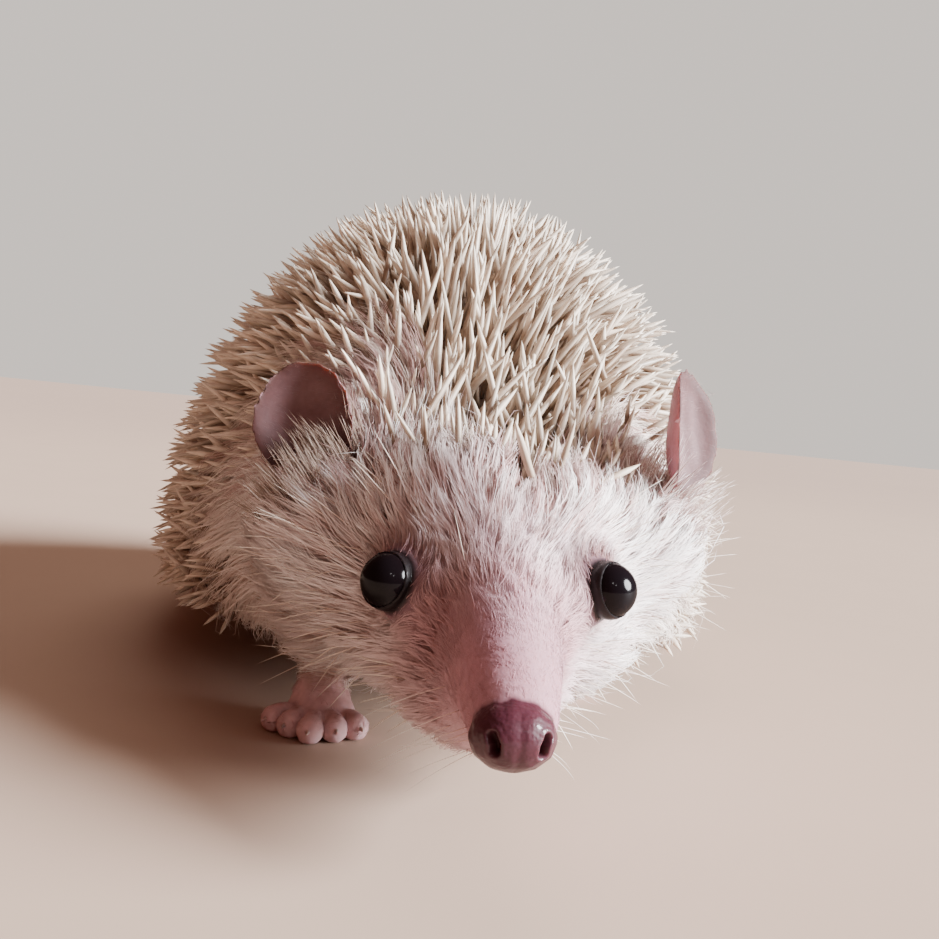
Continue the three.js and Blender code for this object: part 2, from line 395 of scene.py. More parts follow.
def joinSolids():
    bm = bmesh.new()
    faceKind = []
    for name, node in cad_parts.items():
        bm.from_mesh(node.data)
        faceKind += [name.split("_")[0]] * (len(bm.faces) - len(faceKind))
    shapes = BVHTree.FromBMesh(bm)
    bmesh.ops.remove_doubles(bm, verts=bm.verts, dist=1e-6)
    bm.normal_update()
    for vert in bm.verts:
        vert.co += vert.normal * skinMake["overlap"] * mm
    bmesh.ops.triangulate(bm, faces=bm.faces)
    solid = addObject("joined", meshFrom(bm, "joined"))
    mesh = modified(solid, "REMESH", mode="VOXEL", voxel_size=skinMake["grain"] * mm)
    keepOuterShell(mesh)
    return mesh, shapes, np.array(faceKind)


# Small closed hollows between the solids are left out of the skin.
def keepOuterShell(mesh):
    bm = bmesh.new()
    bm.from_mesh(mesh)
    bm.verts.ensure_lookup_table()
    ahead = [max(bm.verts, key=lambda vert: vert.co.z)]
    reached = {ahead[0].index}
    while ahead:
        for edge in ahead.pop().link_edges:
            for vert in edge.verts:
                if vert.index not in reached:
                    reached.add(vert.index)
                    ahead.append(vert)
    inner = [vert for vert in bm.verts if vert.index not in reached]
    bmesh.ops.delete(bm, geom=inner, context="VERTS")
    bm.to_mesh(mesh)
    bm.free()
    print("inner points left out:", len(inner))


def kindMasks(mesh, shapes, faceKind):
    points = readVectors(mesh.vertices, "co")
    nearest = [shapes.find_nearest(point)[2] for point in points.tolist()]
    kind = faceKind[np.array(nearest)]
    return {name: (kind == name).astype(float) for name in skinMake["depths"]}


def zoneValues(mesh):
    names = [*skinMake["depths"], "pit", "cup", "front", "open"]
    layers = {name: mesh.attributes[f"zone_{name}"].data for name in names}
    return {name: readRows(layer, "value", 1, np.float32)[:, 0] for name, layer in layers.items()}


# How far each point belongs to the named zones together.
def inZones(zone, *names):
    return clamp(sum(zone[name] for name in names))


# One at an eye's middle, fading out between two distances in millimetres.
def eyeNearness(points, near, far):
    closest = np.minimum(distance(points, eyeSpots["left"]), distance(points, eyeSpots["right"]))
    return fade(near * mm, far * mm, closest)


def coatDepth(points, masks, edges):
    depth = sum(masks[name] * value for name, value in skinMake["depths"].items())
    muzzle = fade(9 * mm, 27 * mm, distance(points, noseTip))
    depth = np.where(masks["head"] > 0, depth + (skinMake["muzzleDepth"] - depth) * muzzle, depth)
    far = smoothStep(0, 22, behindBrow(points))
    spined = spineShare(points) * inZones(masks, "head", "crown", "back", "rump", "belly")
    quillDepth = skinMake["browDepth"] + (skinMake["quillDepth"] - skinMake["browDepth"]) * far
    depth = blurred(depth + (quillDepth - depth) * spined, edges, skinMake["spread"])
    bareness = clamp(blurred(masks["nose"] + masks["ear"] + masks["paw"], edges, 3))
    depth = depth * (1 - bareness) + 0.2 * bareness
    return (depth * (1 - 0.75 * eyeNearness(points, 3.2, 7.5)) + skinMake["overlap"]) * mm


# How far each point can look along its way before it meets a surface.
def roomAlong(tree, points, ways, most):
    room = np.full(len(points), most)
    for i, (point, way) in enumerate(zip(points.tolist(), ways.tolist())):
        hit = tree.ray_cast(point, way, most)
        if hit[0] is not None:
            room[i] = hit[3]
    return room


# The same from a mesh's own points: outwards where the sign is 1, inwards where it is -1.
def roomBeyond(mesh, sign, most):
    points = readVectors(mesh.vertices, "co")
    normals = sign * readNormals(mesh)
    return roomAlong(surfaceTree(points, mesh), points + normals * 0.4 * mm, normals, most)


# Each step follows softened normals, and stops where the surface starts to fold over.
def sinkSkin(mesh, depth, edges):
    points = readVectors(mesh.vertices, "co")
    first = readNormals(mesh)
    coated = smoothStep(1.0 * mm, 2.0 * mm, depth)[:, None]
    ease = smoothStep(1.5 * mm, 6 * mm, depth) * 0.9 + 0.04
    pace = np.ones(len(points))
    for _ in range(skinMake["steps"]):
        normals = readNormals(mesh)
        agreement = np.sum(normals * first, axis=1)
        pace = np.minimum(pace, blurred(smoothStep(0.1, 0.6, agreement), edges, 3))
        soft = unit(np.stack([blurred(normals[:, i], edges, 12) for i in range(3)], axis=1))
        way = unit(normals + (soft - normals) * coated)
        points = points - way * (depth * pace / skinMake["steps"])[:, None]
        points = relaxed(points, edges, 2, ease, keepSize=False)
        movePoints(mesh, points)
    return points


# Smaller faces near the given spots.
def refine(mesh, spots):
    bm = bmesh.new()
    bm.from_mesh(mesh)
    for spot, reach in spots:
        centre = Vector(spot)
        for _ in range(2):
            near = [e for e in bm.edges if (e.verts[0].co - centre).length < reach * mm]
            bmesh.ops.subdivide_edges(bm, edges=near, cuts=1, use_grid_fill=True)
    bmesh.ops.triangulate(bm, faces=[f for f in bm.faces if len(f.verts) > 4])
    bm.to_mesh(mesh)
    bm.free()
    mesh.update()


# The lid edge is one even ring around the gaze, just proud of the eye.
def shapeLids(points, side):
    centre, axis = eyeSpots[side], gaze[side]
    offset = points - centre
    reach = np.linalg.norm(offset, axis=1)
    ahead = along(offset, axis)
    angle = np.degrees(np.arccos(np.clip(ahead[:, 0] / np.maximum(reach, 1e-9), -1, 1)))
    opening = skinMake["lidOpening"]
    under = eyeRadius - 0.5 * mm
    proud = eyeRadius + skinMake["lidProud"] * mm * fade(opening + 10, opening + 48, angle)
    lid = np.maximum(reach, proud)
    target = np.where(angle > opening - 3, np.minimum(lid, eyeRadius + 4 * mm), under)
    ring = np.where(np.abs(angle - opening) < 3, opening, angle)
    around = unit(offset - ahead * axis)
    way = axis * np.cos(np.radians(ring))[:, None] + around * np.sin(np.radians(ring))[:, None]
    close = (reach < eyeRadius + 3.2 * mm) & (angle < opening + 60)
    return np.where(close[:, None], centre + way * target[:, None], points)


# Two tall comma slits with a soft rim, and a faint groove down the middle of the pad.
def shapeNostrils(points):
    half = np.array(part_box("nose")[1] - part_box("nose")[0]) / 2
    nostril = skinMake["nostril"]
    way = unit((points - noseSpot) / half)
    size = half.mean()
    sink, swell = np.zeros(len(points)), np.zeros(len(points))
    for side in (-1, 1):
        for rise in np.linspace(nostril["foot"], nostril["head"], 12):
            out = nostril["apart"] + max(0, rise) * 0.5
            turn, lift = math.radians(nostril["turn"] + side * out), math.radians(rise)
            spot = (math.sin(turn) * math.cos(lift), -math.cos(turn) * math.cos(lift), math.sin(lift))
            away = distance(way, spot) * size / (nostril["halfWidth"] * mm)
            sink = np.maximum(sink, np.exp(-(away ** 4)) * (1 - 0.02 * max(0, rise)))
            swell = np.maximum(swell, np.exp(-(((away - 1.7) / 0.7) ** 2)))
    near = fade(1.15, 1.35, np.linalg.norm((points - noseSpot) / half, axis=1))
    turn = math.radians(nostril["turn"])
    across = (points - noseSpot) @ np.array([math.cos(turn), math.sin(turn), 0])
    ahead = smoothStep(0.2, 0.7, -way[:, 1])
    groove = np.exp(-((across / (0.5 * mm)) ** 2)) * ahead * 0.1
    push = (-sink * nostril["depth"] + swell * (1 - sink) * 0.05 - groove) * near * mm
    return points + way * push[:, None], sink * near


# Where the paws stand, as in the solids: toes fan out from the front of each palm.
paws = {
    "front_right": {"spot": (-16.36, -44.19), "turn": -8, "kind": "fore"},
    "front_left": {"spot": (16.44, -19.19), "turn": 6, "kind": "fore"},
    "hind_right": {"spot": (-23.06, 48.81), "turn": -14, "kind": "hind"},
    "hind_left": {"spot": (21.94, 30.81), "turn": 14, "kind": "hind"},
}
pawKinds = {
    "fore": {"halfWidth": 4.9, "halfLength": 4.6, "toes": 5, "toe": 1.5, "reach": 3.6, "fan": 64},
    "hind": {"halfWidth": 4.2, "halfLength": 9, "toes": 4, "toe": 1.35, "reach": 4.6, "fan": 36},
}
toeShape = {"swell": 1.1, "groove": 0.42, "grooveWidth": 0.34}


def toePlaces(paw, kind):
    places = []
    turn = Matrix.Rotation(math.radians(paw["turn"]), 4, "Z")
    for i in range(kind["toes"]):
        share = i / (kind["toes"] - 1) - 0.5
        reach = kind["reach"] * (1 - abs(share) * 0.7)
        ahead = kind["toe"] - kind["halfLength"] + abs(share) * 3
        root = Vector((share * kind["halfWidth"] * 1.5, ahead, 0))
        place = Matrix.Translation(Vector((*paw["spot"], 0)) * mm) @ turn @ Matrix.Translation(root * mm)
        places.append((place @ Matrix.Rotation(math.radians(kind["fan"] * share), 4, "Z"), reach))
    return places


# Full, rounded toes with a crease between neighbours.
def shapeToes(points, normals, pawZone):
    near = np.nonzero(pawZone > 0.3)[0]
    spots, ways = points[near], normals[near]
    gaps, towards, radii = [], [], []
    for paw in paws.values():
        kind = pawKinds[paw["kind"]]
        for place, reach in toePlaces(paw, kind):
            start, end = (np.array(place @ Vector((0, y * mm, kind["toe"] * mm))) for y in (0, -reach))
            off = offLine(spots, start, end, 0.3)
            gaps.append(np.linalg.norm(off, axis=1))
            towards.append(unit(off))
            radii.append(kind["toe"] * mm)
    gaps, towards, radii = np.array(gaps), np.array(towards), np.array(radii)
    order = np.argsort(gaps, axis=0)
    rows = np.arange(len(near))
    first, second = gaps[order[0], rows], gaps[order[1], rows]
    radius = radii[order[0]]
    onToe = fade(1.35, 1.9, first / radius)
    apart = (second - first) / mm
    swell = (toeShape["swell"] * radius - first) * smoothStep(0.1, 0.6, apart) * onToe
    groove = np.exp(-((apart / toeShape["grooveWidth"]) ** 2)) * onToe * toeShape["groove"] * mm
    spots = spots + towards[order[0], rows] * swell[:, None] - ways * groove[:, None]
    spots[:, 2] = np.maximum(spots[:, 2], 0.1 * mm)
    points[near] = spots
    return points


# Each ear is smoothed, then gets a thicker rim and two soft folds in its cup.
earShape = {"rim": 0.28, "fold": 0.4, "hollow": 0.35}


def shapeEars(points, normals, earZone):
    cup, forward = np.zeros(len(points)), np.zeros(len(points))
    for side in sides:
        middle = boxMiddle(f"ear_{side}")
        near = np.nonzero((earZone > 0.5) & (distance(points, middle) < 14 * mm))[0]
        offset = points[near] - points[near].mean(axis=0)
        axes = np.linalg.eigh(offset.T @ offset)[1]
        front = axes[:, 0] * -np.sign(axes[1, 0])  # the thin way through, pointing forwards
        high = axes[:, 2] * np.sign(axes[2, 2])
        wide = np.cross(high, front)
        u, v = offset @ wide, offset @ high
        u, v = u / np.abs(u).max(), v / np.abs(v).max()
        ring = np.hypot(u, v)
        facing = smoothStep(-0.45, 0.25, normals[near] @ front)
        rim = smoothStep(0.62, 0.86, ring) * earShape["rim"]
        outward = u * np.sign(middle[0])
        fold = np.exp(-(((outward + 0.12 + 0.35 * v) / 0.13) ** 2)) * smoothStep(0.55, 0.2, ring)
        second = np.exp(-(((outward - 0.34 + 0.15 * v) / 0.1) ** 2)) * smoothStep(0.75, 0.4, ring)
        hollow = fade(0.2, 0.75, ring) * earShape["hollow"]
        push = (rim + (fold + 0.6 * second) * earShape["fold"] - hollow) * facing * mm
        points[near] += front * push[:, None]
        cup[near] = fade(0.4, 0.95, ring) * facing
        forward[near] = facing
    return points, cup, forward


# Hidden skin under the quills needs few faces, the face and feet all of theirs.
def thinHidden(mesh, hidden):
    piece = addObject("thinning", mesh)
    group = piece.vertex_groups.new(name="hidden")
    for level in range(1, 11):
        chosen = np.nonzero(np.round(hidden * 10).astype(int) == level)[0].tolist()
        if chosen:
            group.add(chosen, level / 10, "REPLACE")
    return modified(piece, "DECIMATE", vertex_group="hidden", ratio=skinMake["keepShare"])


# The even mesh at the coat's outline, sunk to the skin, with toes and ears.
def sinkToSkin():
    mesh, shapes, faceKind = joinSolids()
    edges = readEdges(mesh)
    masks = kindMasks(mesh, shapes, faceKind)
    outer = readVectors(mesh.vertices, "co")
    ears = masks["ear"]
    steady = clamp(masks["paw"] + 0.5 * ears + masks["nose"] + masks["eye"])
    points = relaxed(outer, edges, skinMake["evenRounds"], 1 - 0.8 * blurred(steady, edges, 4))
    first, last = skinMake["earRounds"]
    points = relaxed(points, edges, first, 0.8 * blurred(ears, edges, 3), keepSize=False)
    movePoints(mesh, points)
    clear = blurred(smoothStep(5 * mm, 11 * mm, roomBeyond(mesh, 1, 12 * mm)), edges, 12)
    depth = coatDepth(points, masks, edges) * (0.1 + 0.9 * clear)
    thick = blurred(roomBeyond(mesh, -1, 40 * mm), edges, 4)
    depth = blurred(np.minimum(depth, skinMake["thinShare"] * thick), edges, 8)
    points = sinkSkin(mesh, depth, edges)
    normals = readNormals(mesh)
    points = shapeToes(points, normals, blurred(masks["paw"], edges, 3))
    points, cup, forward = shapeEars(points, normals, ears)
    movePoints(mesh, relaxed(points, edges, last, 0.9 * blurred(ears, edges, 3)))
    zone = {name: blurred(mask, edges, 2) for name, mask in masks.items()}
    zone["open"] = np.maximum(clear, fade(12, 18, earGap(outer)))
    for name, values in {**zone, "cup": cup, "front": forward}.items():
        keep(mesh, f"zone_{name}", "FLOAT", values)
    keep(mesh, "outer", "FLOAT_VECTOR", outer)
    return mesh, surfaceTree(outer, mesh)


# Smaller faces round the eyes and the nose, then the lids and nostrils.
def shapeFace(mesh):
    refine(mesh, [(eyeSpots["left"], 5.0), (eyeSpots["right"], 5.0), (noseSpot, 6.5)])
    edges = readEdges(mesh)
    points = readVectors(mesh.vertices, "co")
    near = clamp(eyeNearness(points, 5, 7) + (distance(points, noseSpot) < 7 * mm))
    points, pit = shapeNostrils(relaxed(points, edges, 6, near))
    keep(mesh, "zone_pit", "FLOAT", pit)
    for side in sides:
        points = shapeLids(points, side)
    movePoints(mesh, relaxed(points, edges, 2, near * (1 - eyeNearness(points, 3.4, 4.2))))


def makeSkin():
    mesh, outline = sinkToSkin()
    shapeFace(mesh)
    zone = zoneValues(mesh)
    hidden = zone["crown"] + zone["back"] + zone["rump"] + 0.7 * zone["belly"] + 0.5 * zone["neck"]
    slim = thinHidden(mesh, clamp(hidden))
    slim.name = "skin"
    return slim, outline


skinMesh, outline = makeSkin()
print("skin shaped:", len(skinMesh.vertices), "points,", len(skinMesh.polygons), "faces")


# Colours by place on the animal, the same for skin and coat
markings = {
    "cream": (0.86, 0.74, 0.64),
    "white": (0.95, 0.88, 0.865),
    "tan": (0.58, 0.40, 0.29),
    "pink": (0.455, 0.215, 0.26),
    "lid": (0.008, 0.004, 0.005),
    "mauve": (0.22, 0.12, 0.14),
    # Partly a marking, partly painted shade: the stripe from each eye to the nose.
    "mask": (0.38, 0.19, 0.17),
    "streak": (0.43, 0.23, 0.21),
    "nose": (0.057, 0.013, 0.021),
    # Partly the nostrils' red lining, partly painted shade deep inside them.
    "nostril": (0.022, 0.001, 0.003),
    "earBack": (0.37, 0.18, 0.215),
    # Painted shade for the ears: their fronts, then, darker still, their hollows.
    "earFrontShade": (0.075, 0.034, 0.033),
    "earCupShade": (0.165, 0.085, 0.088),
    "earDown": (0.34, 0.21, 0.21),
    "pawSkin": (0.62, 0.40, 0.41),
    # Painted shade: the bare skin down in the parting.
    "parting": (0.10, 0.045, 0.03),
    # Painted shade: the skin deep among the quills.
    "shadeUnderQuills": (0.16, 0.10, 0.07),
}


def blend(first, second, share):
    return first + (np.asarray(second) - first) * np.asarray(share)[:, None]


def plainColour(name, count):
    return np.tile(markings[name], (count, 1))


def coatColours(points):
    away = distance(points, noseTip)
    colour = plainColour("cream", len(points))
    colour = blend(colour, markings["white"], 0.3 + 0.65 * fade(-0.056, -0.03, points[:, 1]))
    colour = blend(colour, markings["tan"], 0.5 * smoothStep(-0.045, -0.015, points[:, 1]))
    browTan = 0.3 * smoothStep(-6, 1, behindBrow(points)) * (points[:, 2] > 0.03)
    colour = blend(colour, markings["tan"], browTan)
    middle = np.exp(-(((points[:, 0] - noseTip[0]) / (8 * mm)) ** 2))
    streaks = 0.6 + 0.4 * waves(points * np.array([1, 0.25, 0.4]), 1.1)
    colour = blend(colour, markings["pink"], middle * streaks * 0.62 * fade(0.024, 0.046, away))
    # Darker from each eye to the nose: partly a marking of the face, partly painted shade on the muzzle's
    # sides.
    stripe = 0.0
    for spot in eyeSpots.values():  # a darker stripe from each eye to the nose
        gap = np.linalg.norm(offLine(points, noseTip, spot, 0.25), axis=1)
        stripe = np.maximum(stripe, fade(1.5 * mm, 7 * mm, gap))
    colour = blend(colour, markings["mask"], 0.62 * stripe)
    colour = blend(colour, markings["pink"], 0.84 * fade(0.009, 0.034, away))
    return blend(colour, markings["mauve"], 0.85 * eyeNearness(points, 3.3, 5.2))


def skinColours(points, outer, zone):
    ear = clamp(zone["ear"] * 1.5)
    colour = blend(coatColours(points) * 0.8, markings["pink"], np.full(len(points), 0.2))
    # The skin under the quills is blended to dark brown: painted shade between the quills.
    shaded = spineShare(outer) * (1 - ear) * smoothStep(9, 13, earGap(points))
    colour = blend(colour, markings["shadeUnderQuills"], shaded)
    # The parting's bare skin is near black-brown: painted shade in the gap between the quills.
    colour = blend(colour, markings["parting"], partShare(points))
    inner = clamp(zone["front"])
    # Painted shade: each ear's front is darker than its back, and its hollow darker still.
    earColour = blend(plainColour("earBack", len(points)), markings["earFrontShade"], inner)
    earColour = blend(earColour, markings["earCupShade"], clamp(zone["cup"]))
    # More painted shade on the front of the right ear (-X).
    earColour = earColour * (1 - 0.12 * inner * (points[:, 0] < 0))[:, None]
    colour = colour + (earColour - colour) * ear[:, None]
    shin = clamp(zone["leg"]) * fade(0.005, 0.008, points[:, 2])
    colour = blend(colour, markings["pawSkin"], clamp(zone["paw"] + zone["tail"] + shin))
    colour = blend(colour, markings["tan"], 0.6 * clamp(zone["tail"]))
    colour = blend(colour, markings["mauve"], 0.8 * eyeNearness(points, 3.8, 5.4))
    colour = blend(colour, markings["lid"], eyeNearness(points, 3.05, 3.9))
    colour = blend(colour, markings["nose"], clamp(zone["nose"] * 1.4))
    # The nostril pits turn near black-red: partly their lining, partly painted shade deep inside.
    return blend(colour, markings["nostril"], clamp(zone["pit"] * 1.3))


def finishSkin(mesh):
    points = readVectors(mesh.vertices, "co")
    zone = zoneValues(mesh)
    outer = readVectors(mesh.attributes["outer"].data, "vector")
    colours = np.column_stack([skinColours(points, outer, zone), np.ones(len(points))])
    keep(mesh, "tint", "FLOAT_COLOR", colours)
    damp = zone["nose"] * 0.42 * (1 - clamp(2.5 * zone["pit"]))
    keep(mesh, "wet", "FLOAT", clamp(damp + 0.12 * eyeNearness(points, 3.2, 3.8)))
    keep(mesh, "bare", "FLOAT", clamp(zone["nose"] + 0.4 * zone["paw"]))
    skin = addPiece(mesh, "skin", skinFinish())
    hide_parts(*fleshNodes)
    bpy.ops.object.select_all(action="DESELECT")
    bpy.context.view_layer.objects.active = skin
    skin.select_set(True)
    mesh.uv_layers.new(name="OFBake")
    bpy.ops.object.mode_set(mode="EDIT")
    bpy.ops.mesh.select_all(action="SELECT")
    bpy.ops.uv.smart_project(angle_limit=1.15, island_margin=0.002)
    bpy.ops.object.mode_set(mode="OBJECT")


finishSkin(skinMesh)
print("skin unwrapped")


# Eyes
def makeEye(side):
    bm = bmesh.new()
    bmesh.ops.create_uvsphere(bm, u_segments=40, v_segments=28, radius=eyeRadius)
    for vert in bm.verts:  # the clear front swells a little
        height = vert.co.z / eyeRadius
        vert.co *= 1 + 0.03 * max(0, height - 0.2)
    turn = Vector((0, 0, 1)).rotation_difference(Vector(gaze[side])).to_matrix().to_4x4()
    heights = [1 - (vert.co.z / eyeRadius + 1) / 2 for vert in bm.verts]
    bmesh.ops.transform(bm, matrix=Matrix.Translation(Vector(eyeSpots[side])) @ turn, verts=bm.verts)
    mesh = meshFrom(bm, f"eyeball_{side}")
    keep(mesh, "ring", "FLOAT", heights)
    eye = addPiece(mesh, f"eyeball_{side}", eyeMaterial)
    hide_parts(f"eye_{side}")


eyeMaterial = eyeFinish()
for side in sides:
    makeEye(side)


# Claws
claw = {"radius": 0.34, "length": 1.1, "droop": 40, "rings": 6, "colour": (0.58, 0.40, 0.37)}


# The end of a shape grown by one step, and its corners.
def grownEnd(bm, end):
    grown = bmesh.ops.extrude_face_region(bm, geom=end)["geom"]
    end = [g for g in grown if isinstance(g, bmesh.types.BMFace)]
    return end, [g for g in grown if isinstance(g, bmesh.types.BMVert)]


def clawShape():
    bm = bmesh.new()
    bmesh.ops.create_circle(bm, cap_ends=True, segments=10, radius=claw["radius"])
    end = bm.faces[:]
    rings = claw["rings"]
    bend = Matrix.Rotation(math.radians(claw["droop"] / rings), 3, "X")
    for i in range(rings):
        end, verts = grownEnd(bm, end)
        centre = end[0].calc_center_median()
        size = math.sqrt(1 - (i + 1) / (rings + 0.15)) / math.sqrt(1 - i / (rings + 0.15))
        bmesh.ops.scale(bm, vec=(size,) * 3, space=Matrix.Translation(-centre), verts=verts)
        bmesh.ops.translate(bm, vec=end[0].normal * (claw["length"] / rings), verts=verts)
        bmesh.ops.rotate(bm, cent=end[0].calc_center_median(), matrix=bend, verts=verts)
    bmesh.ops.recalc_face_normals(bm, faces=bm.faces)
    bmesh.ops.scale(bm, vec=(mm,) * 3, verts=bm.verts)
    return meshFrom(bm, "claw")


def makeClaws():
    shape = clawShape()
    material = newMaterial("claw_horn")[0]
    for name, paw in paws.items():
        kind = pawKinds[paw["kind"]]
        bm = bmesh.new()
        for place, reach in toePlaces(paw, kind):
            tip = Vector((0, -reach - kind["toe"] * 0.8, kind["toe"] * 1.2)) * mm
            start = len(bm.verts)
            bm.from_mesh(shape)
            bm.verts.ensure_lookup_table()
            turn = Matrix.Translation(tip) @ Matrix.Rotation(math.radians(84), 4, "X")
            bmesh.ops.transform(bm, matrix=place @ turn, verts=bm.verts[start:])
        mesh = meshFrom(bm, f"claws_{name}")
        keep(mesh, "tint", "FLOAT_COLOR", np.tile((*claw["colour"], 1), (len(mesh.vertices), 1)))
        addPiece(mesh, f"claws_{name}", material)


makeClaws()
print("eyes and claws made")


# A tapering spike along +Z, one unit long, and the heights of its rings.
def spike(corners, profile):
    bm = bmesh.new()
    bmesh.ops.create_circle(bm, cap_ends=True, segments=corners, radius=profile[0][1])
    end = bm.faces[:]
    for (low, narrow), (high, wide) in zip(profile, profile[1:]):
        end, verts = grownEnd(bm, end)
        bmesh.ops.translate(bm, vec=(0, 0, high - low), verts=verts)
        bmesh.ops.scale(bm, vec=(wide / narrow, wide / narrow, 1), verts=verts)
    tip = [v for v in bm.verts if v.co.z > profile[-1][0] - 1e-4]
    bmesh.ops.pointmerge(bm, verts=tip, merge_co=(0, 0, 1))
    inner = [face for face in bm.faces if all(len(edge.link_faces) > 2 for edge in face.edges)]
    bmesh.ops.delete(bm, geom=inner, context="FACES_ONLY")
    bmesh.ops.recalc_face_normals(bm, faces=bm.faces)
    bmesh.ops.triangulate(bm, faces=bm.faces)
    heights = np.array([low for low, _ in profile[:-1]] + [1.0])
    return {"mesh": meshFrom(bm, "spike"), "heights": heights}


quillShape = spike(6, [(0, 0.6), (0.16, 0.92), (0.5, 1.0), (0.76, 0.78), (0.92, 0.36), (0.97, 0.2)])
hairShape = spike(3, [(0, 0.8), (0.34, 1.0), (0.7, 0.66), (0.94, 0.2)])
streamShape = spike(3, [(0, 0.8), (0.28, 1.0), (0.56, 0.84), (0.82, 0.5), (0.95, 0.2)])
downShape = spike(3, [(0, 0.9), (0.5, 0.85), (0.9, 0.35)])
whiskerShape = spike(5, [(i / 14, 1 - 0.9 * (i / 14) ** 1.3) for i in range(14)])


class Skin:
    def __init__(self, mesh):
        mesh.calc_loop_triangles()
        self.points = readVectors(mesh.vertices, "co")
        self.normals = readNormals(mesh)
        self.corners = readRows(mesh.loop_triangles, "vertices", 3, np.int32)
        self.loops = readRows(mesh.loop_triangles, "loops", 3, np.int32)
        self.uv = readVectors(mesh.uv_layers["OFBake"].data, "uv", 2)
        self.outer = readVectors(mesh.attributes["outer"].data, "vector")
        self.zone = zoneValues(mesh)
        self.coat = np.linalg.norm(self.outer - self.points, axis=1)  # how thick the coat is here
        self.triangleNormals = unit(self.normals[self.corners].mean(axis=1))
        self.triangleCoat = self.coat[self.corners].mean(axis=1)
        points, eared = self.points.tolist(), self.zone["ear"][self.corners].mean(axis=1) > 0.25
        self.places = {"body": np.nonzero(~eared)[0], "ear": np.nonzero(eared)[0]}
        self.trees = {
            part: BVHTree.FromPolygons(points, self.corners[chosen].tolist())
            for part, chosen in self.places.items()
        }
        a, b, c = (self.points[self.corners[:, i]] for i in range(3))
        self.area = np.linalg.norm(np.cross(b - a, c - a), axis=1) / 2

    def mix(self, values, triangles, shares):
        return np.einsum("ij,ij...->i...", shares, values[self.corners[triangles]])

    # Random places on the skin, so many to a square millimetre where the weight is one.
    def spread(self, perSquareMm, weight):
        chances = self.area * (weight * self.zone["open"])[self.corners].mean(axis=1)
        count = int(chances.sum() / mm ** 2 * perSquareMm)
        triangles = chance.choice(len(chances), size=count, p=chances / chances.sum())
        flat, other = np.sqrt(chance.random(count)), chance.random(count)
        shares = np.column_stack([1 - flat, flat * (1 - other), flat * other])
        return {
            "point": self.mix(self.points, triangles, shares),
            "normal": unit(self.mix(self.normals, triangles, shares)),
            "outer": self.mix(self.outer, triangles, shares),
            "coat": self.mix(self.coat, triangles, shares),
            "uv": np.einsum("ij,ijk->ik", shares, self.uv[self.loops[triangles]]),
            "zone": {name: self.mix(value, triangles, shares) for name, value in self.zone.items()},
        }

    def below(self, points, part):
        found = [self.trees[part].find_nearest(point) for point in points.tolist()]
        places = np.array([hit[0].to_tuple() for hit in found])
        return places, self.places[part][np.array([hit[2] for hit in found])]


def pick(roots, chosen):
    zone = {name: value[chosen] for name, value in roots["zone"].items()}
    return {**{name: value[chosen] for name, value in roots.items() if name != "zone"}, "zone": zone}


# Roots no closer together than the spacing, so that the quills stand evenly.
def thinned(roots, spacing):
    cells = np.floor(roots["point"] / (spacing * mm)).astype(int).tolist()
    taken = {}
    chosen = []
    for place, (cell, point) in enumerate(zip(cells, roots["point"].tolist())):
        x, y, z = cell
        around = [(x + i, y + j, z + k) for i in (-1, 0, 1) for j in (-1, 0, 1) for k in (-1, 0, 1)]
        if all(math.dist(point, other) > spacing * mm for key in around for other in taken.get(key, ())):
            taken.setdefault((x, y, z), []).append(point)
            chosen.append(place)
    return pick(roots, np.array(chosen))


# Which way the coat lies: away from the nose on the head, back and down on the body.
def coatFlow(points, normals, zone):
    fromNose = unit(points - noseTip - np.array([0, 0.004, 0]))
    side = np.sign(points[:, 0] + 0.5 * mm)
    outward = clamp(np.abs(points[:, 0]) / 0.03)
    trunk = np.column_stack([side * 0.45 * outward, np.full(len(points), 0.8), -0.15 - 0.6 * outward ** 2])
    legs = clamp(zone["leg"])[:, None]
    trunk = trunk * (1 - legs) + np.array([0, 0.25, -1.0]) * legs
    onHead = inZones(zone, "head", "nose", "eye")
    onHead = np.maximum(onHead, fade(-0.052, -0.035, points[:, 1]))[:, None]
    flow = fromNose * onHead + unit(trunk) * (1 - onHead)
    for spot in eyeSpots.values():
        close = fade(3 * mm, 6.5 * mm, distance(points, spot))
        flow = flow + unit(points - spot) * close[:, None] * 1.1
    return unit(flow - normals * along(flow, normals))


def turned(vectors, axes, degrees):
    angle = np.radians(degrees)[:, None]
    cross = np.cross(axes, vectors)
    return vectors * np.cos(angle) + cross * np.sin(angle) + axes * along(vectors, axes) * (1 - np.cos(angle))


softness = 0.75  # how far the fur's shading follows the skin below it


